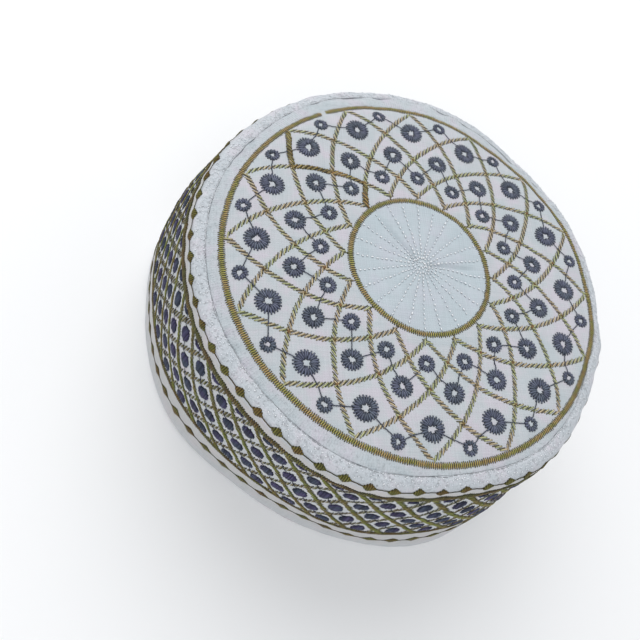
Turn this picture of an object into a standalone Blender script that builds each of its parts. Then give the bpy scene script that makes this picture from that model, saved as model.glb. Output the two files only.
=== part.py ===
"""Kufi cap: an embroidered crown panel sewn to an upright side band.

The cap stands on its hem. The middle of the crown lies above the z axis of
the sewing pattern, and the whole is then centred on its own footprint.
Lengths are in metres; the section table is in millimetres.
"""
import math

import bmesh
import bpy
import numpy as np

MM = 0.001

# Driving sizes
CROWN_HEIGHT = 91.4 * MM       # flat part of the crown above the hem
CENTRE_RISE = 1.0 * MM         # soft doming of the crown's middle
FLAT_RADIUS = 66.0 * MM        # the crown droops outside this radius
ROLL_RADIUS = 6.0 * MM         # rounded shoulder where the band turns over
CROWN_THICKNESS = 1.6 * MM
BAND_THICKNESS = 2.0 * MM
SEAM_GAP = 0.3 * MM            # between the crown's rim and the band's edge
WALL_BULGE = 0.8 * MM          # outward belly at half height of the band

# The pushed-out corner of the shoulder
CORNER_AZIMUTH = 23.5          # degrees
CORNER_SPREAD = 4.0            # degrees
CORNER_REACH = 1.8 * MM

# One row for each direction, every 22.5 degrees anticlockwise from +X, with
# the viewer on the -Y side. The seam's radius and its drop below the flat
# crown give the crown's outline and droop, and the hem's radius gives the foot.
SECTION_COLUMNS = ("seam_radius", "seam_drop", "hem_radius")
SECTIONS_MM = (
    (80.9, 1.4, 101.0),
    (79.3, 0.6, 98.0),
    (80.2, 1.2, 94.0),
    (81.9, 1.9, 91.0),
    (82.7, 2.9, 89.5),
    (85.7, 2.6, 90.0),
    (86.1, 3.2, 92.5),
    (85.8, 4.0, 96.5),
    (84.4, 5.1, 101.0),
    (84.4, 5.7, 101.5),
    (83.6, 5.8, 97.1),
    (83.7, 4.1, 93.0),
    (84.1, 2.4, 88.0),
    (84.6, 1.8, 88.5),
    (81.6, 1.9, 94.4),
    (82.3, 1.9, 100.8),
)

# Mesh fineness
COLUMNS = 96
ROLL_STEPS = 5
WALL_STEPS = 5
CROWN_RINGS = (0.30, 0.62, 0.79, 0.87, 0.94, 1.0)

# Finishes: colour, roughness
CROWN_FINISH = ((0.66, 0.69, 0.74, 1.0), 0.85)
BAND_FINISH = ((0.42, 0.42, 0.41, 1.0), 0.85)


def around(column, azimuth):
    """Value of a table column at any azimuth, as a smooth closed curve."""
    values = [row[SECTION_COLUMNS.index(column)] for row in SECTIONS_MM]
    count = len(values)
    waves = np.fft.rfft(values) / count
    total = waves[0].real
    for order in range(1, len(waves)):
        share = 1.0 if 2 * order == count else 2.0
        turn = complex(math.cos(order * azimuth), math.sin(order * azimuth))
        total += share * (waves[order] * turn).real
    return total * MM


def corner_push(azimuth):
    """How far the pushed-out corner lifts the shoulder at this azimuth."""
    away = math.degrees(azimuth) - CORNER_AZIMUTH
    away = (away + 180.0) % 360.0 - 180.0
    return CORNER_REACH * math.exp(-((away / CORNER_SPREAD) ** 2))


def seam_radius(azimuth):
    return around("seam_radius", azimuth) + 0.5 * corner_push(azimuth)


def seam_height(azimuth):
    return CROWN_HEIGHT - around("seam_drop", azimuth)


def crown_height(radius, azimuth):
    """Top of the crown: nearly flat, drooping to the seam at its edge."""
    edge = seam_radius(azimuth)
    rise = CENTRE_RISE * (1.0 - min(radius / FLAT_RADIUS, 1.0) ** 2)
    outside = max(radius - FLAT_RADIUS, 0.0) / (edge - FLAT_RADIUS)
    droop = (CROWN_HEIGHT - seam_height(azimuth)) * outside ** 2
    return CROWN_HEIGHT + rise - droop


def wall_lean(azimuth):
    """Angle of the straight wall from upright that meets roll and hem."""
    roll = ROLL_RADIUS + 0.5 * corner_push(azimuth)
    centre_r = seam_radius(azimuth)
    centre_z = seam_height(azimuth) - roll
    reach = around("hem_radius", azimuth) - centre_r
    distance = math.hypot(reach, centre_z)
    return math.atan2(reach, centre_z) - math.asin(roll / distance)


def band_section(azimuth, inset):
    """Radius and height pairs from the seam over the roll down to the hem.

    inset is the depth of the drawn skin below the outer face.
    """
    roll = ROLL_RADIUS + 0.5 * corner_push(azimuth)
    skin = roll - inset
    lean = wall_lean(azimuth)
    centre_r = seam_radius(azimuth)
    centre_z = seam_height(azimuth) - roll
    points = []
    for step in range(ROLL_STEPS + 1):
        angle = (0.5 * math.pi - lean) * step / ROLL_STEPS
        points.append((centre_r + skin * math.sin(angle),
                       centre_z + skin * math.cos(angle)))
    top_r, top_z = points[-1]
    foot_r = around("hem_radius", azimuth) - inset / math.cos(lean)
    for step in range(1, WALL_STEPS + 1):
        part = step / WALL_STEPS
        belly = WALL_BULGE * math.sin(math.pi * part)
        points.append((top_r + (foot_r - top_r) * part + belly,
                       top_z * (1.0 - part)))
    return points


def azimuths():
    return [2.0 * math.pi * k / COLUMNS for k in range(COLUMNS)]


def plan_centre():
    """Middle of the band's outline seen from above, which becomes the origin."""
    outline = [(radius * math.cos(azimuth), radius * math.sin(azimuth))
               for azimuth in azimuths()
               for radius, height in band_section(azimuth, 0.0)]
    xs, ys = zip(*outline)
    return (0.5 * (min(xs) + max(xs)), 0.5 * (min(ys) + max(ys)))


PLAN_CENTRE = plan_centre()


def add_ring(bm, radius_height):
    """A closed loop of vertices from one (radius, height) pair per column."""
    off_x, off_y = PLAN_CENTRE
    ring = []
    for azimuth, (radius, height) in zip(azimuths(), radius_height):
        ring.append(bm.verts.new((radius * math.cos(azimuth) - off_x,
                                  radius * math.sin(azimuth) - off_y,
                                  height)))
    return ring


def join_rings(bm, rings, closed):
    """A row of faces from each ring to the next, and round again if closed."""
    pairs = list(zip(rings, rings[1:]))
    if closed:
        pairs.append((rings[-1], rings[0]))
    for first, second in pairs:
        for k in range(COLUMNS):
            after = (k + 1) % COLUMNS
            bm.faces.new((first[k], second[k], second[after], first[after]))


def finish_object(bm, name, finish):
    """Put the mesh in the scene as a smooth-shaded object."""
    bmesh.ops.recalc_face_normals(bm, faces=bm.faces)
    mesh = bpy.data.meshes.new(name)
    bm.to_mesh(mesh)
    bm.free()
    mesh.shade_smooth()
    mesh.set_sharp_from_angle(angle=math.radians(40.0))
    material = bpy.data.materials.new(name + "_cloth")
    material.use_nodes = True
    shader = material.node_tree.nodes["Principled BSDF"]
    shader.inputs["Base Color"].default_value = finish[0]
    shader.inputs["Roughness"].default_value = finish[1]
    shader.inputs["Metallic"].default_value = 0.0
    mesh.materials.append(material)
    piece = bpy.data.objects.new(name, mesh)
    bpy.context.collection.objects.link(piece)
    return piece


def build_crown_panel():
    """The round top: two skins of rings, closed in the middle by flat caps."""
    bm = bmesh.new()
    rings = []
    for below, shares in ((0.0, CROWN_RINGS), (CROWN_THICKNESS, CROWN_RINGS[::-1])):
        for share in shares:
            ring = []
            for azimuth in azimuths():
                radius = share * (seam_radius(azimuth) - SEAM_GAP)
                ring.append((radius, crown_height(radius, azimuth) - below))
            rings.append(add_ring(bm, ring))
    join_rings(bm, rings, closed=False)
    bm.faces.new(rings[0])
    bm.faces.new(rings[-1][::-1])
    return finish_object(bm, "crown_panel", CROWN_FINISH)


def build_side_band():
    """The wall: outer skin from seam to hem, inner skin back up again."""
    bm = bmesh.new()
    outer = [band_section(azimuth, 0.0) for azimuth in azimuths()]
    inner = [band_section(azimuth, BAND_THICKNESS) for azimuth in azimuths()]
    levels = list(zip(*outer)) + list(zip(*inner))[::-1]
    rings = [add_ring(bm, level) for level in levels]
    join_rings(bm, rings, closed=True)
    return finish_object(bm, "side_band", BAND_FINISH)


def main():
    for old in list(bpy.data.objects):
        bpy.data.objects.remove(old, do_unlink=True)
    build_crown_panel()
    build_side_band()


main()
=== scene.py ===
"""Kufi cap: two cloth panels and their machine embroidery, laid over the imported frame.

Stitches are drawn in millimetres on two charts. The crown chart is the round top seen
from above, x and y from the middle of the sewing pattern. The band chart is the side
band unrolled, seen from outside: distance round it, and distance down from the seam.
A skin carries chart points to their place on the cap, and every stitch is a copy of
one modelled stitch, bent over that skin.
"""
import math

import bpy
import numpy as np
from mathutils import Matrix, Vector


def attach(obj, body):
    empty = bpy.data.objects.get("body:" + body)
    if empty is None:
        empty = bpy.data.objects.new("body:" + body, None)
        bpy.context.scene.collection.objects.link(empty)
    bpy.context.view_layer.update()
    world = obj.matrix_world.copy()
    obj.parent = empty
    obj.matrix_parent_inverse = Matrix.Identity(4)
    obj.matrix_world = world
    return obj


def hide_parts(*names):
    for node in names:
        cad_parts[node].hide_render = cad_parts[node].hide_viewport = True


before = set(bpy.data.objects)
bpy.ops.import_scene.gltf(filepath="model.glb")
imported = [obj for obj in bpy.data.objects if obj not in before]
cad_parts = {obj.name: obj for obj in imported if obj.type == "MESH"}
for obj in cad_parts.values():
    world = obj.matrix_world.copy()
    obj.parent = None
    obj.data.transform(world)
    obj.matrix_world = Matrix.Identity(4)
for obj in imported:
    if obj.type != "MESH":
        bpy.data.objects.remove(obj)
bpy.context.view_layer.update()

MM = 0.001
TURN = 2.0 * math.pi

# Form of the cap, as its CAD source gives it, in millimetres
CROWN_HEIGHT = 91.4
CENTRE_RISE = 1.0
FLAT_RADIUS = 66.0
ROLL_RADIUS = 6.0
CROWN_THICKNESS = 1.6
BAND_THICKNESS = 2.0
SEAM_GAP = 0.3
WALL_BULGE = 0.8
CORNER_AZIMUTH = 23.5
CORNER_SPREAD = 4.0
CORNER_REACH = 1.8
SECTION_COLUMNS = ("seam_radius", "seam_drop", "hem_radius")
SECTIONS = (
    (80.9, 1.4, 101.0),
    (79.3, 0.6, 98.0),
    (80.2, 1.2, 94.0),
    (81.9, 1.9, 91.0),
    (82.7, 2.9, 89.5),
    (85.7, 2.6, 90.0),
    (86.1, 3.2, 92.5),
    (85.8, 4.0, 96.5),
    (84.4, 5.1, 101.0),
    (84.4, 5.7, 101.5),
    (83.6, 5.8, 97.1),
    (83.7, 4.1, 93.0),
    (84.1, 2.4, 88.0),
    (84.6, 1.8, 88.5),
    (81.6, 1.9, 94.4),
    (82.3, 1.9, 100.8),
)

# Crown chart: the large flowers stand at FLOWER_AZIMUTH and every REPEAT after it
REPEATS = 16
REPEAT = 360.0 / REPEATS
FLOWER_AZIMUTH = 17.04
OUTER_RING = 78.5
INNER_RING = 29.6
# The outer ring is open for RING_GAP at this azimuth
RING_GAP_AZIMUTH = 159.8
RING_GAP = 2.4
# Radius of the lattice where its lines cross, at each half repeat of sweep
CROSSING_RADII = (77.1, 64.0, 51.5, 40.9, 32.1)
KNOTTED_CROSSINGS = (1, 2, 3)
# The cells puff up between the lattice's lines from one of these radii to the other
CELL_RADII = (30.0, 78.0)
FLOWER_COLUMNS = ("ring_radius", "turn", "outer", "hole", "petals")
FLOWERS = {
    "large": (66.0, 0.0, 5.25, 1.35, 24),
    "middle": (52.7, 10.52, 4.55, 1.2, 20),
    "inner": (41.6, -1.14, 3.6, 1.05, 17),
    "small": (73.0, -10.73, 3.15, 0.95, 14),
}
# The grey thread joins each flower of one kind to two of another, the second this far on
CARRIED = (("small", "large", -1), ("middle", "inner", 1))
# The lattice is worked twice from this repeat on
DOUBLED_REPEAT = 7
# Long petals take turns with short ones, which are this share of the flower's radius
PETAL_COLUMNS = ("share", "width", "lift", "tints")
PETALS = (
    (1.0, 0.74, 0.40, (0.4, 1.0)),
    (0.86, 0.66, 0.28, (0.0, 0.3)),
)
# Rays of quilting on the middle disc, and where they stop short of the inner ring
QUILT_ROWS = 24
QUILT_AZIMUTH = 9.0
QUILT_STEP = 2.0
QUILT_REACH = 27.75
# Soft folds that run out from the middle of the disc: azimuth, reach, depth
CREASES = ((45.0, 25.0, 1.0), (174.0, 22.0, 1.0))

# Band chart: it starts at UPRIGHT_AZIMUTH, where its columns stand upright
BAND_LENGTH = 578.0
BAND_HEIGHT = 92.0
UPRIGHT_AZIMUTH = 276.2
# The strip leans round by this many radians from SWAY_LEVEL to SWAY_DEPTH below it
SWAY = 0.03
SWAY_LEVEL = 20.0
SWAY_DEPTH = 45.0
UPPER_BORDER = 13.3
LOWER_BORDER = 66.2
BORDER_STEPS = 1440
LOZENGES = 60
UPPER_LOZENGES = 6.2
LOWER_LOZENGES = 77.2
LOZENGE_THREAD = 0.43
LOZENGE_COLUMNS = ("down", "phase", "half_width", "half_height", "drift")
LOZENGE_ROWS = {
    "upper_lozenges": (UPPER_LOZENGES, 0.2, 2.45, 1.95, 0.3),
    "lower_lozenges": (LOWER_LOZENGES, 0.62, 3.0, 3.1, 0.2),
}
OVAL_COLUMNS = 39
OVAL_PITCH = BAND_LENGTH / OVAL_COLUMNS
OVAL_ROWS = 6
FIRST_OVAL_ROW = 0.01
OVAL_ROW_PITCH = 0.18
OVAL_SIZE = (5.7, 9.0)
OVAL_STROKES = 11
# The band's work sinks lower round SINK_AZIMUTH, over this range of the turn's cosine
SINK = 3.0
SINK_AZIMUTH = 85.0
SINK_START = -0.42
SINK_RAMP = 0.40
# The soft side swells out round this azimuth, over this part of a half wave down it
SWELL = 5.6
SWELL_AZIMUTH = 188.0
SWELL_SPREAD = 18.0
SWELL_FALL = 0.72

# Waves in the cloth: height, wavelength and the seed that they are drawn from
CROWN_WAVES = ((0.28, 34.0, 11), (0.10, 9.0, 12))
MARGIN_WAVES = ((0.22, 5.5, 13),)
BAND_WAVES = ((0.30, 50.0, 21),)
BAND_GRAIN = ((0.04, 7.0, 22),)
# Waves in a puff of the band, as shares of its height
SHOULDER_WAVES = ((0.4, 13.0, 23), (0.2, 5.0, 25))
HEM_WAVES = ((0.6, 24.0, 24),)

# Height of the crown's puffing between its stitches
CELL_PUFF = 0.34
RAY_PUFF = 0.22
MARGIN_PUFF = 0.25
# Puffs that run round the band
PUFF_COLUMNS = ("height", "level", "spread")
BAND_PUFFS = {
    "shoulder": (0.30, 4.0, 4.5),
    "tucks": (0.26, UPPER_LOZENGES + 3.0, 3.0),
    "hem": (0.30, 86.0, 5.0),
}

# Fineness of the cloth: columns round, rows down its face and rows up its back
CROWN_FINENESS = (320, 62, 22)
BAND_FINENESS = (384, 70, 30)

# Satin lines, a zigzag across the line, every other stitch darker and lower as painted shade in the
# gaps
SATIN_COLUMNS = ("width", "pitch", "thread", "spike", "ragged", "tints")
SATINS = {
    "crown_outer_ring": (2.3, 0.415, 0.46, 0.3, 0.2, (0.6, 1.0)),
    "crown_inner_ring": (2.3, 0.435, 0.47, 0.3, 0.2, (0.6, 1.0)),
    "upper_border": (4.8, 0.46, 0.64, 0.0, 0.35, (0.15, 0.8)),
    "lower_border": (4.0, 0.46, 0.64, 0.0, 0.35, (0.15, 0.8)),
}

# Rope lines, long strokes that slant across the line, each with a second one beside it:
# ahead and slide place the second, and its width is a share of the first one's
# The second stroke is painted light: dark as the shade between strokes, and on the band's open lattice
# light as the thread's highlight
ROPE_COLUMNS = ("pitch", "stroke", "width", "lift", "lean", "tints",
                "second_tints", "second_width", "ahead", "slide", "ragged")
ROPES = {
    "crown_lattice": (2.25, 3.6, 0.62, 0.26, 36.0, (0.7, 1.0), (0.0, 0.12), 0.8, 0.4, 0.35, 0.2),
    "crown_double_path": (2.0, 3.9, 0.64, 0.5, 40.0, (0.4, 1.0), (0.0, 0.1), 0.8, 0.5, 0.0, 0.4),
    "band_close_lattice": (2.2, 4.2, 0.62, 0.26, -40.0, (0.6, 1.0), (0.0, 0.2), 0.85, 0.42, 0.5, 0.7),
    "band_open_lattice": (2.25, 4.6, 0.58, 0.26, -36.0, (0.0, 0.2), (0.5, 1.0), 0.8, 0.38, 0.4, 0.8),
}

# Every piece of thread work: where its small unevenness is drawn from, and its thread
WORK_COLUMNS = ("seed", "thread")
WORK = {
    "crown_outer_ring": (31, "gold_thread"),
    "crown_inner_ring": (32, "gold_thread"),
    "crown_lattice": (33, "rope_thread"),
    "crown_double_path": (34, "double_path_thread"),
    "crown_flowers": (35, "slate_thread"),
    "crown_running_thread": (36, "slate_thread"),
    "crown_quilting": (37, "white_thread"),
    "crown_crossings": (38, "amber_thread"),
    "seam_stitching": (41, "seam_thread"),
    "shoulder_stitching": (42, "white_thread"),
    "upper_lozenges": (43, "olive_thread"),
    "upper_border": (44, "olive_thread"),
    "lower_border": (45, "olive_thread"),
    "lower_lozenges": (46, "olive_thread"),
    "band_ovals": (51, "violet_thread"),
    "band_close_lattice": (52, "lattice_green_thread"),
    "band_open_lattice": (53, "open_thread"),
    "band_running_thread": (54, "violet_thread"),
}


def named(columns, row):
    """One row of a table, by the names of its columns."""
    return dict(zip(columns, row))


def bell(away, spread):
    """1 in the middle, fading softly on both sides."""
    return np.exp(-((away / spread) ** 2))


def ramp(value, start, width):
    """0 up to start, then straight up to 1 over width."""
    return np.clip((value - start) / width, 0.0, 1.0)


def degrees_from(middle, azimuth):
    return (np.degrees(azimuth) - middle + 180.0) % 360.0 - 180.0


def around(column, azimuth):
    """A section column at any azimuth, as the closed curve through its rows."""
    values = [row[SECTION_COLUMNS.index(column)] for row in SECTIONS]
    waves = np.fft.rfft(values) / len(values)
    waves[1:-1] *= 2.0
    turns = np.exp(1j * np.multiply.outer(azimuth, np.arange(len(waves))))
    return (turns * waves).real.sum(axis=-1)


def corner_push(azimuth):
    """How far the pushed-out corner lifts the shoulder at this azimuth."""
    return CORNER_REACH * bell(degrees_from(CORNER_AZIMUTH, azimuth), CORNER_SPREAD)


def seam_radius(azimuth):
    return around("seam_radius", azimuth) + 0.5 * corner_push(azimuth)


def seam_height(azimuth):
    return CROWN_HEIGHT - around("seam_drop", azimuth)


def crown_height(radius, azimuth):
    rise = CENTRE_RISE * (1.0 - np.minimum(radius / FLAT_RADIUS, 1.0) ** 2)
    outside = np.maximum(radius - FLAT_RADIUS, 0.0) / (seam_radius(azimuth) - FLAT_RADIUS)
    return CROWN_HEIGHT + rise - (CROWN_HEIGHT - seam_height(azimuth)) * outside ** 2


def band_form(azimuth):
    """Roll radius, roll centre, wall lean, arc length and wall length at an azimuth."""
    roll = ROLL_RADIUS + 0.5 * corner_push(azimuth)
    centre_r = seam_radius(azimuth)
    centre_z = seam_height(azimuth) - roll
    reach = around("hem_radius", azimuth) - centre_r
    lean = np.arctan2(reach, centre_z) - np.arcsin(roll / np.hypot(reach, centre_z))
    arc = roll * (0.5 * math.pi - lean)
    wall = np.sqrt(reach ** 2 + centre_z ** 2 - roll ** 2)
    return roll, centre_r, centre_z, lean, arc, wall


def band_section(azimuth, down):
    """Radius, height and outward normal of the band's outer face."""
    roll, centre_r, centre_z, lean, arc, wall = band_form(azimuth)
    angle = np.minimum(down / roll, 0.5 * math.pi - lean)
    out_r, out_z = np.sin(angle), np.cos(angle)
    run = np.maximum(down - arc, 0.0)
    belly = WALL_BULGE * np.sin(math.pi * np.minimum(run / wall, 1.0))
    radius = centre_r + roll * out_r + run * np.sin(lean) + belly
    height = centre_z + roll * out_z - run * np.cos(lean)
    return radius, height, out_r, out_z


def plan_centre():
    """Middle of the band's outline from above, which the CAD source puts at zero."""
    columns, steps = 96, 5
    azimuth = np.arange(columns) * TURN / columns
    _, _, _, _, arc, wall = band_form(azimuth)
    reach = []
    for share in np.linspace(0.0, 1.0, steps + 1):
        for down in (arc * share, arc + wall * share):
            radius = band_section(azimuth, down)[0]
            reach.append((radius * np.cos(azimuth), radius * np.sin(azimuth)))
    flat = np.array(reach)
    return 0.5 * (flat.min(axis=(0, 2)) + flat.max(axis=(0, 2)))


PLAN_CENTRE = plan_centre()


def ripple(points, wavelength, seed, waves=6):
    """A smooth uneven field of about unit height over points in space."""
    chance = np.random.default_rng(seed)
    total = np.zeros(points.shape[:-1])
    for _ in range(waves):
        heading = chance.normal(size=3)
        heading *= TURN / (wavelength * chance.uniform(0.7, 1.4) * np.linalg.norm(heading))
        total += np.sin(points @ heading + chance.uniform(0.0, TURN))
    return total / math.sqrt(0.5 * waves)


def soft_waves(points, kinds):
    return sum(height * ripple(points, wavelength, seed) for height, wavelength, seed in kinds)


SWEEP_STEPS = 0.5 * REPEAT * np.arange(len(CROSSING_RADII))
RADIUS_OF_SWEEP = np.polyfit(SWEEP_STEPS, CROSSING_RADII, 3)
SWEEP_OF_RADIUS = np.polyfit(CROSSING_RADII, SWEEP_STEPS, 3)


def polar(radius, degrees):
    """Chart point of the crown, or many of them."""
    turned = np.radians(degrees)
    return np.stack([radius * np.cos(turned), radius * np.sin(turned)], axis=-1)


def crease_depth(x, y):
    """The folds of the middle disc, narrow and soft."""
    width, start, fade, beyond = 1.3, 4.0, 8.0, 3.0
    total = 0.0
    for azimuth, reach, depth in CREASES:
        c, s = math.cos(math.radians(azimuth)), math.sin(math.radians(azimuth))
        out, off = x * c + y * s, y * c - x * s
        share = ramp(out, 0.0, start) * ramp(reach + beyond - out, 0.0, fade)
        total = total + depth * share * bell(off, width)
    return total


def crown_relief(x, y):
    """Height of the crown's cloth over its plain form: puffed cells, slack margin."""
    radius, degrees = np.hypot(x, y), np.degrees(np.arctan2(y, x))
    flat = np.stack([x, y, np.zeros_like(x)], axis=-1)
    sweep = np.polyval(SWEEP_OF_RADIUS, np.clip(radius, *CELL_RADII))
    cells = 1.0
    for hand in (1.0, -1.0):
        phase = math.pi * (degrees - FLOWER_AZIMUTH - hand * sweep) / REPEAT
        cells = cells * np.abs(np.sin(phase))
    field = ramp(radius, INNER_RING, 3.0) * ramp(OUTER_RING - radius, 0.0, 2.0)
    rows = np.abs(np.sin(0.5 * QUILT_ROWS * np.radians(degrees - QUILT_AZIMUTH)))
    disc = ramp(radius, 4.0, 10.0) * (radius < INNER_RING)
    slack = ramp(radius, OUTER_RING, 3.0) * (MARGIN_PUFF + soft_waves(flat, MARGIN_WAVES))
    puffed = CELL_PUFF * np.sqrt(cells) * field + RAY_PUFF * rows * disc
    return soft_waves(flat, CROWN_WAVES) + puffed + slack - crease_depth(x, y)


def crown_skin(x, y):
    radius, azimuth = np.hypot(x, y), np.arctan2(y, x)
    height = crown_height(radius, azimuth) + crown_relief(x, y)
    return np.stack([x - PLAN_CENTRE[0], y - PLAN_CENTRE[1], height], axis=-1)


# Levels of the band at which its chart is worked out, and steps round it
LEVEL_STEP = 2.0
LEVELS = np.arange(-4.0, 104.0, LEVEL_STEP)
SHARE_STEPS = 720


def band_chart():
    """Azimuth at equal shares of the cloth's length, a row for each level down."""
    azimuth = np.linspace(0.0, TURN, SHARE_STEPS + 1)
    start = math.radians(UPRIGHT_AZIMUTH)
    rows = []
    for down in LEVELS:
        radius = band_section(azimuth, down)[0]
        steps = np.hypot(np.diff(radius * np.cos(azimuth)), np.diff(radius * np.sin(azimuth)))
        length = np.concatenate([[0.0], np.cumsum(steps)])
        share = (length - np.interp(start, azimuth, length)) / length[-1]
        rows.append(np.interp(np.linspace(0.0, 1.0, SHARE_STEPS + 1),
                              np.concatenate([share, share[1:] + 1.0]),
                              np.concatenate([azimuth, azimuth[1:] + TURN])))
    return np.array(rows)


BAND_CHART = band_chart()


def band_azimuth(along, down):
    """Where a chart point of the band lies round the cap, in radians."""
    column = (along / BAND_LENGTH % 1.0) * SHARE_STEPS
    row = np.clip((down - LEVELS[0]) / LEVEL_STEP, 0.0, len(LEVELS) - 1.001)
    left, upper = column.astype(int), row.astype(int)
    right = np.minimum(left + 1, SHARE_STEPS)
    across, below = column - left, row - upper
    above = BAND_CHART[upper, left] * (1.0 - across) + BAND_CHART[upper, right] * across
    under = BAND_CHART[upper + 1, left] * (1.0 - across) + BAND_CHART[upper + 1, right] * across
    azimuth = above * (1.0 - below) + under * below
    lean = SWAY * (down - SWAY_LEVEL) / SWAY_DEPTH
    return azimuth + lean * np.sin(azimuth - math.radians(UPRIGHT_AZIMUTH))


def band_sink(azimuth):
    """How much lower than on its chart the band's work lies at this azimuth."""
    facing = np.cos(azimuth - math.radians(SINK_AZIMUTH))
    share = ramp(facing, SINK_START, SINK_RAMP)
    return SINK * share ** 2 * (3.0 - 2.0 * share)


def band_puff(kind, down):
    puff = named(PUFF_COLUMNS, BAND_PUFFS[kind])
    return puff["height"] * bell(down - puff["level"], puff["spread"])


def band_relief(along, down, azimuth):
    """How far the band's cloth stands out from its plain form."""
    about = 90.0
    ring = np.stack([about * np.cos(azimuth), about * np.sin(azimuth), down], axis=-1)
    soft = soft_waves(ring, BAND_WAVES) * ramp(down, 0.0, 20.0) + soft_waves(ring, BAND_GRAIN)
    puffed = band_puff("shoulder", down) * (1.0 + soft_waves(ring, SHOULDER_WAVES))
    tucks = band_puff("tucks", down) * np.cos(TURN * LOZENGES * along / BAND_LENGTH)
    hem = band_puff("hem", down) * (1.0 + soft_waves(ring, HEM_WAVES))
    fall = np.sin(SWELL_FALL * math.pi * ramp(down, 0.0, BAND_HEIGHT))
    swell = SWELL * bell(degrees_from(SWELL_AZIMUTH, azimuth), SWELL_SPREAD) * fall
    return soft + puffed + tucks + hem + swell


def band_skin(along, down, inset=0.0):
    """The band's cloth, or with inset its inner side. The hem stays level."""
    azimuth = band_azimuth(along, down)
    radius, height, out_r, out_z = band_section(azimuth, down)
    lift = band_relief(along, down, azimuth) - inset
    radius = radius + out_r * lift
    x = radius * np.cos(azimuth) - PLAN_CENTRE[0]
    y = radius * np.sin(azimuth) - PLAN_CENTRE[1]
    rise = out_z * lift * ramp(height, 0.0, 20.0)
    return np.stack([x, y, height + rise], axis=-1)


def worked_band(along, down):
    """The band's skin as its embroidery is laid on it."""
    return band_skin(along, down + band_sink(band_azimuth(along, down)))


# Which way round each chart's two axes turn, seen from outside the cap
FACING = {crown_skin: 1.0, band_skin: -1.0, worked_band: -1.0}


def lifted(skin, a, b, lift):
    """Points above a skin, in metres, raised along its outward normal."""
    here = skin(a, b)
    step = 0.15
    normal = np.cross(skin(a + step, b) - here, skin(a, b + step) - here)
    normal *= FACING[skin] / np.linalg.norm(normal, axis=-1, keepdims=True)
    return (here + normal * lift[..., None]) * MM


def deselect_all():
    for piece in bpy.context.selected_objects:
        piece.select_set(False)


def edit_all():
    """Into edit mode, with the whole mesh selected."""
    bpy.ops.object.mode_set(mode="EDIT")
    bpy.ops.mesh.select_all(action="SELECT")


def active_object(name):
    """The object that an operator has just added, renamed with its mesh."""
    piece = bpy.context.active_object
    piece.name = name
    piece.data.name = name
    return piece


def set_points(mesh, points):
    mesh.vertices.foreach_set("co", np.ascontiguousarray(points, dtype=np.float32).ravel())
    mesh.update()


def get_points(mesh):
    points = np.empty(3 * len(mesh.vertices), dtype=np.float32)
    mesh.vertices.foreach_get("co", points)
    return points.reshape(-1, 3).astype(float)


def extruded_tube(name, columns, rings):
    """A round tube extruded ring by ring, one metre each, ready to be shaped."""
    deselect_all()
    bpy.ops.mesh.primitive_circle_add(vertices=columns, radius=1.0, fill_type="NOTHING")
    piece = active_object(name)
    edit_all()
    for _ in range(rings - 1):
        bpy.ops.mesh.extrude_region_move(TRANSFORM_OT_translate={"value": (0.0, 0.0, -1.0)})
    bpy.ops.object.mode_set(mode="OBJECT")
    points = get_points(piece.data)
    ring = np.rint(-points[:, 2]).astype(int)
    share = np.arctan2(points[:, 1], points[:, 0]) / TURN % 1.0
    return piece, ring, share


def close_cloth(piece):
    """Merge the rings that meet, and turn every face outwards."""
    edit_all()
    bpy.ops.mesh.remove_doubles(threshold=1e-6)
    bpy.ops.mesh.normals_make_consistent(inside=False)
    bpy.ops.object.mode_set(mode="OBJECT")
    bpy.ops.object.shade_smooth()


def lay_uv(mesh, u, v, wrap=None):
    """A UV map of chart distances in metres; wrap is the chart's length round."""
    corner = np.empty(len(mesh.loops), dtype=np.int32)
    mesh.loops.foreach_get("vertex_index", corner)
    u, v = u[corner].copy(), v[corner]
    if wrap:
        counts = np.empty(len(mesh.polygons), dtype=np.int32)
        mesh.polygons.foreach_get("loop_total", counts)
        face = np.repeat(np.arange(len(counts)), counts)
        highest = np.full(len(counts), -1e9)
        np.maximum.at(highest, face, u)
        u += wrap * (highest[face] - u > 0.5 * wrap)
    layer = mesh.uv_layers.new(name="chart")
    layer.data.foreach_set("uv", np.stack([u, v], axis=-1).astype(np.float32).ravel() * MM)


def crown_profile():
    """Rows of share of the rim's radius, offset outwards and depth, centre to centre."""
    rim = 0.15
    _, face_rows, back_rows = CROWN_FINENESS
    rows = [(share, 0.0, 0.0) for share in np.linspace(0.0, 0.985, face_rows)]
    for angle in np.radians((0.0, 30.0, 60.0, 90.0)):
        rows.append((1.0, rim * (math.sin(angle) - 1.0), rim * (1.0 - math.cos(angle))))
    rows += [(share, 0.0, CROWN_THICKNESS) for share in np.linspace(1.0, 0.0, back_rows)]
    return np.array(rows)


def make_crown_cloth():
    """The round top as one closed cloth: face, rim and underside."""
    profile = crown_profile()
    piece, ring, share = extruded_tube("crown_cloth", CROWN_FINENESS[0], len(profile))
    azimuth = share * TURN
    part, offset, depth = profile[ring].T
    radius = part * (seam_radius(azimuth) - 0.25 * SEAM_GAP) + offset
    radius = np.maximum(radius, 0.0)
    points = crown_skin(radius * np.cos(azimuth), radius * np.sin(azimuth))
    points[:, 2] -= depth
    set_points(piece.data, points * MM)
    close_cloth(piece)
    points = get_points(piece.data) / MM
    lay_uv(piece.data, points[:, 0], points[:, 1])
    return piece


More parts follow.
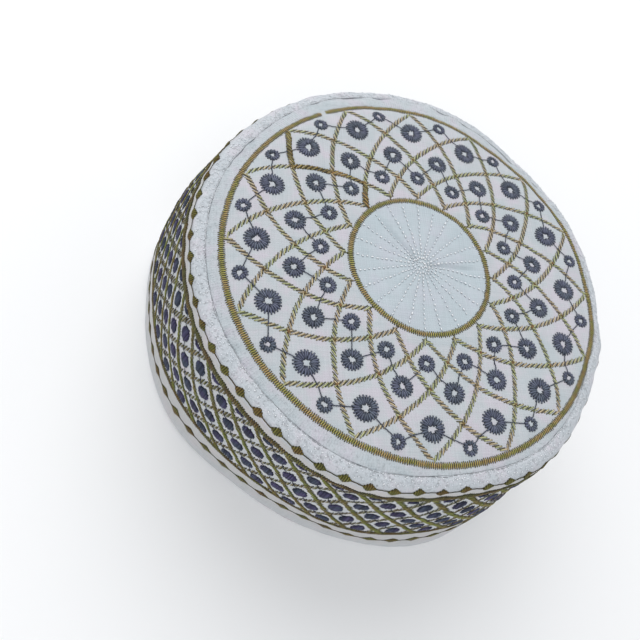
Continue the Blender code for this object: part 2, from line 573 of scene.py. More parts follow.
def band_profile():
    """Rows of share of the height, offset down and depth, round the band's wall."""
    top, fold = 0.15, 0.5 * BAND_THICKNESS
    _, face_rows, back_rows = BAND_FINENESS
    rows = []
    for angle in np.radians((90.0, 60.0, 30.0, 0.0)):
        rows.append((0.0, top * (1.0 - math.sin(angle)), top * (1.0 - math.cos(angle))))
    rows += [(share, 0.0, 0.0) for share in np.linspace(0.016, 0.98, face_rows)]
    for angle in np.radians((0.0, 30.0, 60.0, 90.0, 120.0, 150.0, 180.0)):
        rows.append((1.0, fold * (math.sin(angle) - 1.0), fold * (1.0 - math.cos(angle))))
    rows += [(share, 0.0, BAND_THICKNESS) for share in np.linspace(0.975, 0.0, back_rows)]
    rows.append(rows[0])
    return np.array(rows)


def make_band_cloth():
    """The side wall as one closed cloth, folded round at the hem."""
    profile = band_profile()
    piece, ring, share = extruded_tube("band_cloth", BAND_FINENESS[0], len(profile))
    along = share * BAND_LENGTH
    part, offset, depth = profile[ring].T
    first_guess = 91.0
    azimuth = band_azimuth(along, part * first_guess)
    for _ in range(2):
        _, _, _, _, arc, wall = band_form(azimuth)
        azimuth = band_azimuth(along, part * (arc + wall))
    down = part * (arc + wall) + offset
    points = band_skin(along, down, depth)
    points[:, 2] = np.maximum(points[:, 2], 0.0)
    set_points(piece.data, points * MM)
    set_chart_values(piece.data, along, down)
    close_cloth(piece)
    along, down = chart_values(piece.data)
    lay_uv(piece.data, along, down, wrap=BAND_LENGTH)
    return piece


def add_values(mesh, name, values):
    layer = mesh.attributes.new(name, "FLOAT", "POINT")
    layer.data.foreach_set("value", values.astype(np.float32))


def set_chart_values(mesh, along, down):
    for name, values in (("along", along), ("down", down)):
        add_values(mesh, name, values)


def chart_values(mesh):
    """Read back and drop the chart values, which the merge has kept with the points."""
    found = []
    for name in ("along", "down"):
        values = np.empty(len(mesh.vertices), dtype=np.float32)
        mesh.attributes[name].data.foreach_get("value", values)
        found.append(values.astype(float))
        mesh.attributes.remove(mesh.attributes[name])
    return found


def model_stitch(sides=4, stations=(0.08, 0.34, 0.66, 0.92)):
    """One satin stitch, a plump strand one unit long with a crest along its top."""
    deselect_all()
    quarter, end_width = 0.25 * TURN, 0.68
    bpy.ops.mesh.primitive_circle_add(vertices=sides, radius=0.5, fill_type="NOTHING",
                                      rotation=(quarter, 0.0, quarter))
    piece = active_object("stitch_pattern")
    bpy.ops.object.transform_apply(location=False, rotation=True, scale=False)
    edit_all()
    places = (0.0,) + tuple(stations) + (1.0,)
    for before, after in zip(places, places[1:]):
        step = (after - before, 0.0, 0.0)
        bpy.ops.mesh.extrude_region_move(TRANSFORM_OT_translate={"value": step})
    bpy.ops.mesh.merge(type="CENTER")
    bpy.ops.object.mode_set(mode="OBJECT")
    for vertex in piece.data.vertices:
        vertex.select = vertex.co.x < 1e-4
    bpy.ops.object.mode_set(mode="EDIT")
    bpy.ops.mesh.merge(type="CENTER")
    bpy.ops.mesh.select_all(action="SELECT")
    bpy.ops.mesh.normals_make_consistent(inside=False)
    bpy.ops.mesh.quads_convert_to_tris()
    bpy.ops.object.mode_set(mode="OBJECT")
    points = get_points(piece.data)
    along = points[:, 0]
    plump = np.sqrt(np.clip(4.0 * along * (1.0 - along), 0.0, 1.0))
    points[:, 1] *= end_width + (1.0 - end_width) * plump
    faces = np.array([tuple(face.vertices) for face in piece.data.polygons])
    bpy.data.objects.remove(piece, do_unlink=True)
    return points, faces


STITCH_POINTS, STITCH_FACES = model_stitch()
# How far the ends of a stitch sink into the cloth
DIP = 0.16
# A stitch from its side: squareness of its arch, height of its thread as a share of
# the width, and how much of that height is left at its ends
ARCH_POWER = 0.42
THREAD_HEIGHT = 0.62
END_HEIGHT = 0.35


def triangle_mesh(name, points, faces):
    mesh = bpy.data.meshes.new(name)
    mesh.vertices.add(len(points))
    mesh.loops.add(faces.size)
    mesh.polygons.add(len(faces))
    mesh.loops.foreach_set("vertex_index", faces.astype(np.int32).ravel())
    mesh.polygons.foreach_set("loop_start", np.arange(0, faces.size, 3, dtype=np.int32))
    set_points(mesh, points)
    mesh.update(calc_edges=True)
    mesh.validate()
    mesh.shade_smooth()
    return mesh


def lay_stitches(name, skin, rows):
    """Copies of the modelled stitch, one for each row: start, end, width, lift, tint."""
    rows = np.asarray(rows, dtype=float)
    start, end = rows[:, None, 0:2], rows[:, None, 2:4]
    width, lift, tint = rows[:, 4:5], rows[:, 5:6], rows[:, 6]
    run = end - start
    length = np.linalg.norm(run, axis=-1, keepdims=True)
    side = np.stack([-run[..., 1], run[..., 0]], axis=-1) / length
    along, across, tall = STITCH_POINTS.T
    places = start + run * along[:, None] + side * (across[:, None] * width[:, :, None])
    arch = np.maximum(np.sin(math.pi * along), 0.0) ** ARCH_POWER
    body = THREAD_HEIGHT * (END_HEIGHT + (1.0 - END_HEIGHT) * arch)
    height = arch * (lift + DIP) - DIP + tall * width * body
    points = lifted(skin, places[..., 0], places[..., 1], height).reshape(-1, 3)
    per_stitch = len(STITCH_POINTS)
    faces = STITCH_FACES + per_stitch * np.arange(len(rows))[:, None, None]
    mesh = triangle_mesh(name, points, faces.reshape(-1, 3))
    add_values(mesh, "tint", np.repeat(tint, per_stitch))
    # run and crest place the painted shade at a stitch's ends and down its sides
    add_values(mesh, "run", np.tile(along, len(rows)))
    add_values(mesh, "crest", np.tile(tall + 0.5, len(rows)))
    piece = bpy.data.objects.new(name, mesh)
    bpy.context.collection.objects.link(piece)
    return piece


def evenly(line, pitch):
    """Places at equal steps along a chart line, and the line's heading at each."""
    line = np.asarray(line, dtype=float)
    steps = np.hypot(*np.diff(line, axis=0).T)
    reach = np.concatenate([[0.0], np.cumsum(steps)])
    count = max(int(round(reach[-1] / pitch)), 1)
    at = (np.arange(count) + 0.5) * reach[-1] / count
    near = 0.3

    def point(where):
        return np.stack([np.interp(where, reach, line[:, k]) for k in (0, 1)], axis=-1)

    heading = point(at + near) - point(at - near)
    return point(at), heading / np.linalg.norm(heading, axis=-1, keepdims=True)


def turned(vectors, degrees):
    """Chart vectors turned anticlockwise in the chart's own axes."""
    c, s = math.cos(math.radians(degrees)), math.sin(math.radians(degrees))
    x, y = vectors.T
    return np.stack([c * x - s * y, s * x + c * y], axis=-1)


class Needle:
    """Draws one piece's stitches on a chart, with a hand's small unevenness."""

    def __init__(self, name):
        self.name = name
        self.chance = np.random.default_rng(named(WORK_COLUMNS, WORK[name])["seed"])
        self.rows = []

    def uneven(self, size, count=None):
        return self.chance.uniform(-size, size, count)

    def between(self, low, high):
        return self.chance.uniform(low, high)

    def stitch(self, start, end, width, lift, tint=None):
        """A row of lay_stitches; without a tint it is drawn by chance."""
        if tint is None:
            tint = self.chance.random()
        self.rows.append((*start, *end, width, lift, tint))

    def zigzag(self, line, width, pitch, thread, spike, ragged, tints, lift=0.32):
        """Satin across a line: a bright stitch over, then a darker one back past it, set lower as
        painted shade in the gaps.
        """
        lean, dark = 0.45 * pitch, (0.0, 0.12)
        places, heading = evenly(line, pitch)
        for k, (place, along, across) in enumerate(zip(places, heading, turned(heading, 90.0))):
            place = place + self.uneven(0.5 * ragged) * across
            # Every other stitch is dark and lower: painted shade in the gaps between the bright
            # stitches
            if k % 2:
                half = (0.5 * width + spike + self.uneven(ragged)) * across - lean * along
                tint = self.between(*dark)
                self.stitch(place - half, place + half, 0.9 * thread, lift - 0.04, tint)
            else:
                half = (0.5 * width + self.uneven(ragged)) * across + lean * along
                raised = lift + self.uneven(0.03)
                self.stitch(place - half, place + half, thread, raised, self.between(*tints))

    def rope(self, line, pitch, stroke, width, lift, lean, tints,
             second_tints, second_width, ahead, slide, ragged):
        """Slanted strokes along a line, each with a second one beside it as painted light: darker for
        the shade between strokes, or lighter for a highlight.
        """
        places, heading = evenly(line, pitch)
        for place, forward, along in zip(places, heading, turned(heading, lean)):
            half = (0.5 * stroke + self.uneven(ragged)) * along
            place = place + self.uneven(0.1, 2)
            raised = lift + self.uneven(0.05)
            self.stitch(place - half, place + half, width, raised, self.between(*tints))
            # The second stroke is painted shade, or on the open lattice a painted highlight
            place = place + ahead * pitch * forward + slide * along
            tint = self.between(*second_tints)
            self.stitch(place - half, place + half, second_width * width, 0.6 * lift, tint)

    def running(self, line, pitch, width, lift, fill, tints):
        """Single stitches along a line; with fill over one they overlap end to end."""
        places, heading = evenly(line, pitch)
        reach = np.hypot(*np.diff(np.asarray(line), axis=0).T).sum() / len(places)
        for place, along in zip(places, heading):
            half = 0.5 * fill * reach * along
            self.stitch(place - half, place + half, width, lift, self.between(*tints))

    def knot(self, place, size, width, lift):
        """A few short stitches over one spot."""
        for heading in (20.0, 80.0, 140.0):
            half = 0.5 * size * polar(1.0, heading + self.uneven(25.0))
            self.stitch(place - half, place + half, width, lift + self.uneven(0.05))

    def lay(self, skin):
        """The finished piece, with all its stitches on a skin."""
        return lay_stitches(self.name, skin, self.rows)


def arc_line(radius, first, last):
    """A round line of the crown's chart, with a point for each degree."""
    return polar(radius, np.linspace(first, last, int(last - first) + 1))


def level_line(down):
    """A line all the way round the band's chart at one level."""
    along = np.linspace(0.0, BAND_LENGTH, BORDER_STEPS)
    return np.stack([along, np.full(BORDER_STEPS, down)], axis=-1)


def lattice_line(start_azimuth, hand, first=0.0, last=SWEEP_STEPS[-1], points=60):
    """One lattice curve of the crown, swept from the outer ring towards the inner."""
    sweep = np.linspace(first, last, points)
    return polar(np.polyval(RADIUS_OF_SWEEP, sweep), start_azimuth + hand * sweep)


def satin_line(name, skin, line):
    needle = Needle(name)
    needle.zigzag(line, **named(SATIN_COLUMNS, SATINS[name]))
    return needle.lay(skin)


def roped_lines(name, skin, lines):
    needle = Needle(name)
    for line in lines:
        needle.rope(line, **named(ROPE_COLUMNS, ROPES[name]))
    return needle.lay(skin)


def crown_outer_ring():
    gap = math.degrees(0.5 * RING_GAP / OUTER_RING)
    first, last = RING_GAP_AZIMUTH + gap, RING_GAP_AZIMUTH + 360.0 - gap
    return satin_line("crown_outer_ring", crown_skin, arc_line(OUTER_RING, first, last))


def crown_inner_ring():
    return satin_line("crown_inner_ring", crown_skin, arc_line(INNER_RING, 0.0, 360.0))


def crown_lattice():
    lines = [lattice_line(FLOWER_AZIMUTH + k * REPEAT, hand)
             for k in range(REPEATS) for hand in (1.0, -1.0)]
    return roped_lines("crown_lattice", crown_skin, lines)


def crown_crossings():
    """Brown knots where the machine turned at the lattice's crossings."""
    needle = Needle("crown_crossings")
    for level in KNOTTED_CROSSINGS:
        for k in range(REPEATS):
            azimuth = FLOWER_AZIMUTH + REPEAT * (k + 0.5 * (level % 2))
            needle.knot(polar(CROSSING_RADII[level], azimuth), size=1.9, width=0.6, lift=0.42)
    return needle.lay(crown_skin)


def crown_double_path():
    """The stretch of lattice that the machine went over twice, crossing to crossing."""
    half = 0.5 * REPEAT
    lines = []
    legs = ((0, 1.0), (1, -1.0), (1, -1.0), (-2, 1.0))
    for leg, (turn, hand) in enumerate(legs):
        azimuth = FLOWER_AZIMUTH + (DOUBLED_REPEAT + turn) * REPEAT
        lines.append(lattice_line(azimuth, hand, leg * half, (leg + 1) * half))
    return roped_lines("crown_double_path", crown_skin, lines)


def flower_places(kind):
    """Middles of one kind of flower, and its radius."""
    flower = named(FLOWER_COLUMNS, FLOWERS[kind])
    azimuths = FLOWER_AZIMUTH + flower["turn"] + REPEAT * np.arange(REPEATS)
    return polar(flower["ring_radius"], azimuths), flower["outer"]


def crown_flowers():
    """Round flowers with a notched rim and an open middle."""
    needle = Needle("crown_flowers")
    for kind, row in FLOWERS.items():
        flower = named(FLOWER_COLUMNS, row)
        for centre in flower_places(kind)[0]:
            spin = needle.uneven(180.0)
            for petal in range(2 * flower["petals"]):
                form = named(PETAL_COLUMNS, PETALS[petal % 2])
                angle = spin + 180.0 * petal / flower["petals"] + needle.uneven(1.2)
                inner = flower["hole"] * needle.between(0.55, 1.6)
                outer = form["share"] * flower["outer"] + needle.uneven(0.16)
                root = centre + polar(inner, angle + needle.uneven(5.0))
                tint = needle.between(*form["tints"])
                needle.stitch(root, centre + polar(outer, angle), form["width"], form["lift"], tint)
    return needle.lay(crown_skin)


def crown_running_thread():
    """The grey thread that the machine carries from flower to flower."""
    needle = Needle("crown_running_thread")
    hidden = 0.4
    for first, second, on in CARRIED:
        starts, start_size = flower_places(first)
        ends, end_size = flower_places(second)
        for k in range(REPEATS):
            for step in (0, on):
                start, end = starts[k], ends[(k + step) % REPEATS]
                along = (end - start) / np.linalg.norm(end - start)
                start = start + along * (start_size - hidden)
                end = end - along * (end_size - hidden)
                middle = 0.5 * (start + end) + needle.uneven(0.5, 2)
                needle.running([start, middle, end], pitch=2.2, width=0.40, lift=0.36, fill=1.5,
                               tints=(0.0, 0.3))
    return needle.lay(crown_skin)


def crown_quilting():
    """Rays of short white stitches on the middle disc, closer together near its centre."""
    needle = Needle("crown_quilting")
    for ray in range(QUILT_ROWS):
        azimuth = QUILT_AZIMUTH + 360.0 * ray / QUILT_ROWS + needle.uneven(1.0)
        radius = 0.9 + needle.between(0.0, 1.4) + 2.0 * (ray % 2)
        while radius < QUILT_REACH:
            middle = polar(radius, azimuth + needle.uneven(0.6))
            half = needle.between(0.36, 0.7) * polar(1.0, azimuth + needle.uneven(10.0))
            needle.stitch(middle - half, middle + half, needle.between(0.55, 0.8), lift=0.36)
            radius += QUILT_STEP * (1.0 if radius > 9.0 else 0.8) + needle.uneven(0.2)
    return needle.lay(crown_skin)


def seam_stitching():
    """Thread lying in the seam between crown and band, grey in front and pale behind."""
    needle = Needle("seam_stitching")
    front = 90.0
    for first, last, tints, width in ((-front, front, (0.15, 0.6), 0.34),
                                      (front, BAND_LENGTH - front, (0.8, 1.0), 0.62)):
        along = np.linspace(first, last, 400)
        down = 0.2 + 0.3 * np.sin(along / 2.9) * np.sin(along / 7.7)
        line = np.stack([along, down], axis=-1)
        needle.running(line, pitch=2.4, width=width, lift=0.04, fill=1.0, tints=tints)
    return needle.lay(band_skin)


def shoulder_stitching():
    """Small white holding stitches strewn over the puffed shoulder, partly thread and partly painted
    glints on its cloth.
    """
    needle = Needle("shoulder_stitching")
    step, left_out = 1.7, 0.4
    for down in (0.8, 1.7, 2.7, 3.8):
        for along in np.arange(0.0, BAND_LENGTH, step):
            if needle.chance.random() < left_out:
                continue
            middle = np.array([along + needle.uneven(0.8), down + needle.uneven(0.5)])
            half = 0.5 * needle.between(0.4, 1.0) * polar(1.0, needle.uneven(80.0))
            needle.stitch(middle - half, middle + half, needle.between(0.35, 0.5), lift=0.20)
    return needle.lay(band_skin)


def lozenge_row(name):
    """Satin lozenges on a line, joined by a single thread."""
    needle = Needle(name)
    pitch = BAND_LENGTH / LOZENGES
    row = named(LOZENGE_COLUMNS, LOZENGE_ROWS[name])
    down, half_width = row["down"], row["half_width"]
    strokes = int(round(2.0 * half_width / LOZENGE_THREAD))
    for k in range(LOZENGES):
        middle = (k + row["phase"]) * pitch
        level = down + needle.uneven(row["drift"])
        for j in range(strokes + 1):
            share = 2.0 * j / strokes - 1.0
            reach = 0.15 + row["half_height"] * (1.0 - abs(share)) ** 0.8 + needle.uneven(0.1)
            at = middle + share * half_width
            lean, tints = (0.1, (0.0, 0.3)) if j % 2 else (-0.1, (0.5, 1.0))
            tint = needle.between(*tints)
            needle.stitch((at - lean, level - reach), (at + lean, level + reach), 0.56, 0.30, tint)
        edge = (middle + half_width - 0.2, level)
        beyond = (middle + pitch - half_width + 0.2, down)
        needle.running([edge, beyond], pitch=2.2, width=0.42, lift=0.2, fill=1.4, tints=(0.0, 0.2))
    return needle.lay(worked_band)


def oval_row_height(row):
    """Level down the band's chart of a row of ovals."""
    share = FIRST_OVAL_ROW + OVAL_ROW_PITCH * row
    return UPPER_BORDER + share * (LOWER_BORDER - UPPER_BORDER)


def oval_middle(column, row):
    """Place along the band's chart of an oval; every other row is set off by a half."""
    return (column + 0.5 * ((row + 1) % 2)) * OVAL_PITCH


def band_ovals():
    """Rows of satin ovals, set off by half a column and cut by the borders."""
    needle = Needle("band_ovals")
    half_wide, half_tall = 0.5 * OVAL_SIZE[0], 0.5 * OVAL_SIZE[1]
    top, foot, shortest, ragged = UPPER_BORDER + 2.2, LOWER_BORDER - 1.8, 0.8, 0.55
    for row in range(OVAL_ROWS):
        level = oval_row_height(row)
        for column in range(OVAL_COLUMNS):
            for k in range(OVAL_STROKES):
                share = 2.0 * (k + 0.5) / OVAL_STROKES - 1.0
                at = oval_middle(column, row) + share * half_wide
                reach = half_tall * math.sqrt(1.0 - share ** 2)
                high = max(level - reach, top) + needle.uneven(ragged)
                low = min(level + reach, foot) + needle.uneven(ragged)
                if low - high > shortest:
                    needle.stitch((at - 0.1, high), (at + 0.1, low), width=0.74, lift=0.24)
    return needle.lay(worked_band)


def band_lattice(name, hand):
    """Slanting ropes between the ovals, one for each column; hand is which way they run."""
    points = 40
    level = np.linspace(UPPER_BORDER + 0.8, LOWER_BORDER - 0.6, points)
    rows = (level - oval_row_height(1)) / (oval_row_height(2) - oval_row_height(1))
    lines = [np.stack([(column + 0.5 + hand * 0.5 * rows) * OVAL_PITCH, level], axis=-1)
             for column in range(OVAL_COLUMNS)]
    return roped_lines(name, worked_band, lines)


def band_running_thread():
    """The violet thread carried from each oval to the next one down and along."""
    needle = Needle("band_running_thread")
    share = np.array((0.32, 0.68))
    for row in range(OVAL_ROWS - 1):
        above, below = oval_row_height(row), oval_row_height(row + 1)
        level = above + share * (below - above)
        if level[0] <= UPPER_BORDER + 1.5:
            continue
        for column in range(OVAL_COLUMNS):
            along = oval_middle(column, row) + share * 0.5 * OVAL_PITCH
            line = np.stack([along, level], axis=-1)
            needle.running(line, pitch=5.0, width=0.42, lift=0.5, fill=1.2, tints=(0.0, 0.3))
    return needle.lay(worked_band)


class Value:
    """A shader socket that can be written in ordinary sums."""

    def __init__(self, finish, socket):
        self.finish = finish
        self.socket = socket

    def math(self, operation, *others):
        inputs = dict(enumerate((self, *others)))
        return self.finish.node("ShaderNodeMath", {"operation": operation}, inputs)

    def __add__(self, other):
        return self.math("ADD", other)

    def __sub__(self, other):
        return self.math("SUBTRACT", other)

    def __rsub__(self, other):
        return self.finish.node("ShaderNodeMath", {"operation": "SUBTRACT"}, {0: other, 1: self})

    def __mul__(self, other):
        return self.math("MULTIPLY", other)

    def __pow__(self, other):
        return self.math("POWER", other)

    __radd__ = __add__
    __rmul__ = __mul__


class Finish:
    """A material as it is written: one method adds any node and returns its output."""

    def __init__(self, name, **constants):
        self.material = bpy.data.materials.new(name)
        self.material.use_nodes = True
        self.tree = self.material.node_tree
        self.surface = self.tree.nodes["Principled BSDF"]
        self.fill(self.surface, constants)

    def fill(self, node, inputs):
        for key, value in inputs.items():
            if isinstance(value, Value):
                self.tree.links.new(value.socket, node.inputs[key])
            else:
                node.inputs[key].default_value = value

    def node(self, kind, settings=None, inputs=None, output=0):
        node = self.tree.nodes.new(kind)
        for key, value in (settings or {}).items():
            if key == "stops":
                self.set_stops(node.color_ramp, value)
            else:
                setattr(node, key, value)
        self.fill(node, inputs or {})
        return Value(self, node.outputs[output])

    def set_stops(self, ramp, stops):
        while len(ramp.elements) < len(stops):
            ramp.elements.new(0.5)
        for element, (place, colour) in zip(ramp.elements, stops):
            element.position = place
            element.color = colour

    def mix(self, factor, first, second, blend="MIX"):
        """A colour between two, or a product with blend set; a node's sockets 6 and 7."""
        settings = {"data_type": "RGBA", "blend_type": blend}
        return self.node("ShaderNodeMix", settings, {0: factor, 6: first, 7: second}, output=2)

    def noise(self, place, size, detail=2.0, roughness=0.5):
        """Soft noise whose blotches are about size millimetres across."""
        inputs = {"Vector": place, "Scale": 1.0 / (size * MM), "Detail": detail, "Roughness": roughness}
        return self.node("ShaderNodeTexNoise", {}, inputs)

    def remap(self, value, low, high, first, last):
        """A straight ramp from first at low to last at high, flat beyond both."""
        return self.node("ShaderNodeMapRange", {}, {0: value, 1: low, 2: high, 3: first, 4: last})

    def grey(self, level):
        return self.node("ShaderNodeCombineXYZ", {}, {0: level, 1: level, 2: level})

    def bump(self, height, distance, strength=1.0):
        inputs = {"Height": height, "Distance": distance * MM, "Strength": strength}
        return self.node("ShaderNodeBump", {}, inputs)

    def show(self, **inputs):
        self.fill(self.surface, {key.replace("_", " "): value for key, value in inputs.items()})
        return self.material


def srgb(red, green, blue):
    """A colour read off in 0 to 255, as the shader's linear value."""
    def linear(level):
        level /= 255.0
        return level / 12.92 if level <= 0.04045 else ((level + 0.055) / 1.055) ** 2.4
    return (linear(red), linear(green), linear(blue), 1.0)


# Distance between the yarns of the cloth's weave
YARN = 0.95
# Fine gathers round the crown's margin, outside its outer ring
GATHERS = 529
CLOTH_COLUMNS = ("shaded", "clean", "blush", "grain", "tint")
CLOTHS = {
    "crown_weave": ((184, 192, 196), (191, 195, 199), (197, 193, 201), 43.0, (0.94, 1.01, 1.03)),
    "band_weave": ((184, 190, 195), (191, 196, 201), (197, 195, 202), 0.0, (0.93, 0.87, 0.81)),
}
# Each thread has two hues that drift along the work, each from a dark tint to a light.
# ends and sides are how bright a stitch is painted there, as painted shade where it dips into the cloth
# and down its flanks; blotch is the size of the drift in mm.
THREAD_COLUMNS = ("dark", "light", "other_dark", "other_light",
                  "blotch", "gloss", "ends", "sides", "shine")
THREADS = {
    "gold_thread": (
        (46, 32, 12), (226, 196, 128), (38, 40, 10), (198, 192, 104), 4.0, 0.36, 0.36, 0.42, 0.5),
    "rope_thread": (
        (50, 38, 20), (222, 202, 164), (36, 42, 16), (204, 208, 152), 5.0, 0.36, 0.2, 0.6, 0.5),
    "double_path_thread": (
        (58, 42, 20), (186, 150, 84), (50, 48, 20), (172, 156, 84), 6.0, 0.38, 0.3, 0.42, 0.5),
    "olive_thread": (
        (44, 46, 20), (146, 142, 74), (60, 46, 24), (146, 122, 70), 7.0, 0.46, 0.3, 0.42, 0.2),
    "lattice_green_thread": (
        (44, 50, 20), (166, 172, 96), (62, 54, 28), (164, 150, 92), 9.0, 0.46, 0.3, 0.42, 0.15),
    "open_thread": (
        (42, 48, 28), (176, 172, 124), (58, 48, 30), (172, 156, 114), 6.0, 0.46, 0.3, 0.6, 0.15),
    "amber_thread": (
        (98, 64, 30), (150, 108, 58), (84, 68, 30), (142, 116, 62), 6.0, 0.40, 0.3, 0.42, 0.5),
    "slate_thread": (
        (35, 40, 61), (112, 118, 142), (33, 42, 57), (104, 114, 131), 5.0, 0.36, 0.3, 0.5, 0.5),
    "violet_thread": (
        (30, 27, 52), (92, 86, 126), (26, 34, 51), (78, 88, 110), 7.0, 0.5, 0.3, 0.45, 0.12),
    "seam_thread": (
        (120, 125, 130), (206, 210, 214), (126, 128, 132), (206, 209, 213), 5.0, 0.5, 0.7, 0.75, 0.5),
    "white_thread": (
        (232, 236, 240), (252, 253, 255), (226, 232, 240), (250, 253, 255), 5.0, 0.22, 0.6, 0.8, 0.5),
}


def weave(finish, place, u, v, grain):
    """Yarns both ways as a height from 0 to 1, and the yarns' unevenness."""
    wobble = finish.noise(place, 2.6) * 1.1
    c, s = math.cos(math.radians(grain)), math.sin(math.radians(grain))
    ends, picks = u * c + v * s, v * c - u * s
    warp = (ends * (0.5 * TURN / YARN) + wobble).math("SINE").math("ABSOLUTE") ** 0.5
    weft = (picks * (0.5 * TURN / YARN) + wobble).math("SINE").math("ABSOLUTE") ** 0.5
    streaks = 0.0
    for across, along in ((ends, picks), (picks, ends)):
        inputs = {0: across * (1.0 / YARN), 1: along * 0.05, 2: 0.0}
        spread = finish.node("ShaderNodeCombineXYZ", {}, inputs)
        inputs = {"Vector": spread, "Scale": 1.0, "Detail": 1.0}
        streaks = finish.node("ShaderNodeTexNoise", {}, inputs) + streaks
    return warp * weft, streaks


def cloth_finish(name, zones):
    """Plain-woven white cotton, with lumps, tints and gathers where zones says, and painted shade
    between yarns and among lumps and painted glints on the lumps' tops.
    """
    cloth = named(CLOTH_COLUMNS, CLOTHS[name])
    finish = Finish(name, **{"Sheen Weight": 0.2, "Sheen Roughness": 0.6,
                             "Specular IOR Level": 0.25})
    place = finish.node("ShaderNodeTexCoord", output=3)
    chart = finish.node("ShaderNodeUVMap", {"uv_map": "chart"})
    u = finish.node("ShaderNodeSeparateXYZ", {}, {0: chart}) * (1.0 / MM)
    v = finish.node("ShaderNodeSeparateXYZ", {}, {0: chart}, output=1) * (1.0 / MM)
    woven, streaks = weave(finish, place, u, v, cloth["grain"])
    slub = finish.noise(place, 0.9, detail=3.0)
    lumpy, tinted, gathers = zones(finish, u, v)
    # Height: yarns, gone softer under lumps and gathers
    yarns = woven * 0.35 + slub * 0.5 + streaks * 0.3
    lumps = finish.noise(place, 1.3, detail=2.5, roughness=0.6)
    height = yarns * (1.0 - lumpy * 0.6) + lumps * lumpy * 6.5 + gathers * 0.4
    # Colour: a faint drift, painted shade between yarns and in the low spots among lumps, painted
    # glints on the lumps' tops, then tinted
    blotch = finish.noise(place, 8.0, detail=3.0)
    fine = finish.noise(place, 0.7, detail=2.0, roughness=0.7)
    stops = [(at, srgb(*cloth[key])) for at, key in zip((0.38, 0.50, 0.62), CLOTH_COLUMNS)]
    drift = (blotch * 0.75 + fine * 0.25 - 0.5) * (1.0 - tinted * 0.6) + 0.5
    hue = finish.node("ShaderNodeValToRGB", {"stops": stops}, {0: drift})
    # The streaks are the yarns' own unevenness; the darkening between yarns is painted shade
    streaks_and_painted_light = finish.remap(woven, 0.0, 0.7, 0.93, 1.0) * finish.remap(streaks, 0.7, 1.3, 0.96, 1.04)
    hollow_shade = finish.remap(lumps, 0.30, 0.44, 0.70, 1.0) * lumpy + (1.0 - lumpy)
    # Painted shade in the low spots among lumps, and painted glints that make the lumps' tops up to 14%
    # brighter
    streaks_and_painted_light = streaks_and_painted_light * hollow_shade * finish.remap(lumps * lumpy, 0.3, 0.6, 1.0, 1.14)
    colour = finish.mix(1.0, hue, finish.grey(streaks_and_painted_light), blend="MULTIPLY")
    tint = finish.mix(1.0, colour, (*cloth["tint"], 1.0), blend="MULTIPLY")
    return finish.show(Base_Color=finish.mix(tinted, colour, tint), Roughness=slub * 0.15 + 0.72,
                       Normal=finish.bump(height, 0.16, 0.7))


def crown_zones(finish, u, v):
    """Lumps, with their painted shade and glints, and gathers outside the outer ring, a cooler tint
    inside the inner one.
    """
    radius = (u * u + v * v) ** 0.5
    outside = finish.remap(radius, OUTER_RING + 1.0, OUTER_RING + 2.2, 0.0, 1.0)
    inside = finish.remap(radius, INNER_RING - 1.5, INNER_RING, 1.0, 0.0)
    turn = v.math("ARCTAN2", u) * float(GATHERS)
    return outside * 0.6, inside + outside * 0.35, turn.math("SINE") * outside


def band_zones(finish, u, v):
    """Lumps, with their painted shade and glints, on the rolled shoulder only, a warmer tint below it.
    """
    lumpy = finish.remap(v, UPPER_LOZENGES - 1.5, UPPER_LOZENGES + 1.0, 1.0, 0.12)
    above = finish.remap(v, UPPER_LOZENGES, UPPER_LOZENGES + 2.0, 0.0, 1.0)
    field = finish.remap(v, UPPER_BORDER - 1.0, UPPER_BORDER + 2.0, 1.0, 0.3)
    below = finish.remap(v, LOWER_BORDER - 1.0, LOWER_BORDER + 1.0, 0.0, 0.6)
    return lumpy, above * field + below - finish.remap(v, 78.0, 88.0, 0.0, 0.5), 0.0


def thread_finish(name):
    """Shiny thread, with painted shade at a stitch's ends and sides, darker there than along its crest.
    """
    thread = named(THREAD_COLUMNS, THREADS[name])
    hues = [(srgb(*thread[dark]), srgb(*thread[light]))
            for dark, light in (("dark", "light"), ("other_dark", "other_light"))]
    finish = Finish(name, **{"Specular IOR Level": thread["shine"]})
    place = finish.node("ShaderNodeTexCoord", output=3)
    tint, run, crest = (finish.node("ShaderNodeAttribute", {"attribute_name": label}, output=2)
                        for label in ("tint", "run", "crest"))
    hue = finish.remap(finish.noise(place, thread["blotch"], detail=1.5), 0.42, 0.58, 0.0, 1.0)
    depth = tint * 0.8 + finish.noise(place, 0.8) * 0.4 - 0.1
    colour = finish.mix(hue, *(finish.mix(depth, dark, light) for dark, light in hues))
    # Painted shade: darker towards a stitch's ends, where it dips into the cloth, and down its sides
    # from the crest
    ends = finish.remap(run * (1.0 - run) * 4.0, 0.0, 0.75, thread["ends"], 1.0)
    sides = finish.remap(crest, 0.5, 0.95, thread["sides"], 1.0)
    colour = finish.mix(1.0, colour, finish.grey(ends * sides), blend="MULTIPLY")
    fibres = finish.noise(place, 0.16, detail=2.0)
    return finish.show(Base_Color=colour, Roughness=fibres * 0.2 + thread["gloss"],
                       Normal=finish.bump(fibres, 0.05, 0.5))


def make_crown_work():
    return [
        crown_outer_ring(), crown_inner_ring(), crown_lattice(), crown_crossings(),
        crown_double_path(), crown_flowers(), crown_running_thread(), crown_quilting(),
    ]


def make_band_work():
    return [
        seam_stitching(),
        shoulder_stitching(),
        lozenge_row("upper_lozenges"),
        satin_line("upper_border", worked_band, level_line(UPPER_BORDER)),
        band_ovals(),
        band_running_thread(),
        band_lattice("band_close_lattice", 1.0),
        band_lattice("band_open_lattice", -1.0),
        satin_line("lower_border", worked_band, level_line(LOWER_BORDER)),
        lozenge_row("lower_lozenges"),
    ]


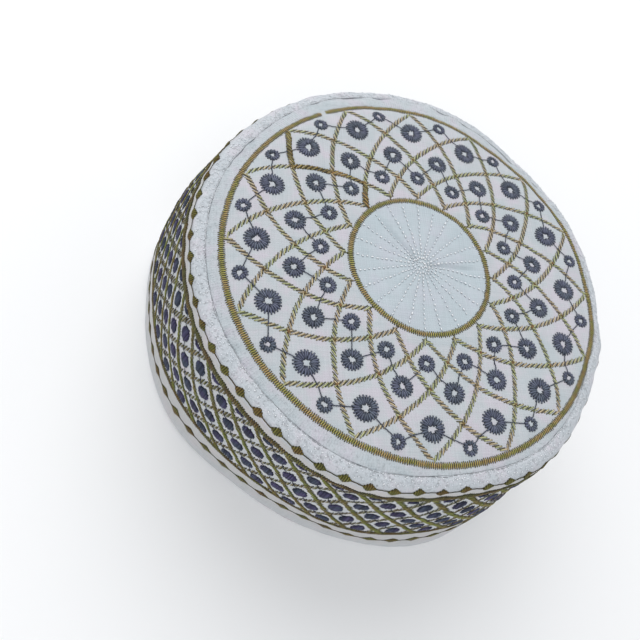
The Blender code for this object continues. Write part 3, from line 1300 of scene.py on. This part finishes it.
def dress():
    """Make every piece, give it its finish, attach it to the root body and hide the CAD panels."""
    crown_cloth, band_cloth = make_crown_cloth(), make_band_cloth()
    crown_cloth.data.materials.append(cloth_finish("crown_weave", crown_zones))
    band_cloth.data.materials.append(cloth_finish("band_weave", band_zones))
    crown_work, band_work = make_crown_work(), make_band_work()
    threads = {name: thread_finish(name) for name in THREADS}
    for piece in crown_work + band_work:
        piece.data.materials.append(threads[named(WORK_COLUMNS, WORK[piece.name])["thread"]])
    for piece in [crown_cloth, band_cloth] + crown_work + band_work:
        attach(piece, "root")
    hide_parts("crown_panel")
    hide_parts("side_band")


# Camera as worked out from the round crown in the photograph, in millimetres from
# the middle of the sewing pattern, with its own right, up and backward directions
CAMERA_PLACE = (0.0, -173.6, 303.2)
CAMERA_RIGHT = (0.7333, 0.6055, 0.3094)
CAMERA_UP = (-0.6778, 0.6145, 0.4038)
CAMERA_BACK = (0.0543, -0.5058, 0.8610)
CAMERA_LENS = 38.60
SENSOR = 36.0

# Soft lights: place, size and power, all turned to one spot
AIM = (0.0, 0.0, 0.05)
LIGHTS = {
    "key_light": ((-0.58, 0.52, 0.95), 1.3, 8.4),
    "fill_light": ((0.35, -1.0, 0.65), 1.0, 3.0),
}
ROOM_COLOUR = (0.95, 0.97, 1.0, 1.0)
ROOM_STRENGTH = 0.66
FLOOR_WIDTH = 12.0


def place_camera():
    data = bpy.data.cameras.new("camera")
    data.lens = CAMERA_LENS
    data.sensor_width = SENSOR
    camera = bpy.data.objects.new("camera", data)
    turn = Matrix((CAMERA_RIGHT, CAMERA_UP, CAMERA_BACK)).transposed()
    place = Vector(CAMERA_PLACE) - Vector((*PLAN_CENTRE, 0.0))
    camera.matrix_world = Matrix.Translation(place * MM) @ turn.to_4x4()
    bpy.context.collection.objects.link(camera)
    bpy.context.scene.camera = camera


def add_softbox(name, place, size, power):
    data = bpy.data.lights.new(name, "AREA")
    data.shape = "DISK"
    data.size = size
    data.energy = power
    light = bpy.data.objects.new(name, data)
    light.location = place
    light.rotation_euler = (Vector(AIM) - Vector(place)).to_track_quat("-Z", "Y").to_euler()
    bpy.context.collection.objects.link(light)


def set_studio():
    """A pale floor, an even pale room and two soft lights."""
    deselect_all()
    bpy.ops.mesh.primitive_plane_add(size=FLOOR_WIDTH, location=(0.0, 0.0, 0.0))
    floor = active_object("floor")
    finish = Finish("pale_floor", Roughness=0.9)
    floor.data.materials.append(finish.show(Base_Color=srgb(250, 250, 250)))
    world = bpy.data.worlds.new("room")
    world.use_nodes = True
    background = world.node_tree.nodes["Background"]
    background.inputs["Color"].default_value = ROOM_COLOUR
    background.inputs["Strength"].default_value = ROOM_STRENGTH
    bpy.context.scene.world = world
    bpy.context.scene.view_settings.view_transform = "Standard"
    for name, (place, size, power) in LIGHTS.items():
        add_softbox(name, place, size, power)


dress()
set_studio()
place_camera()
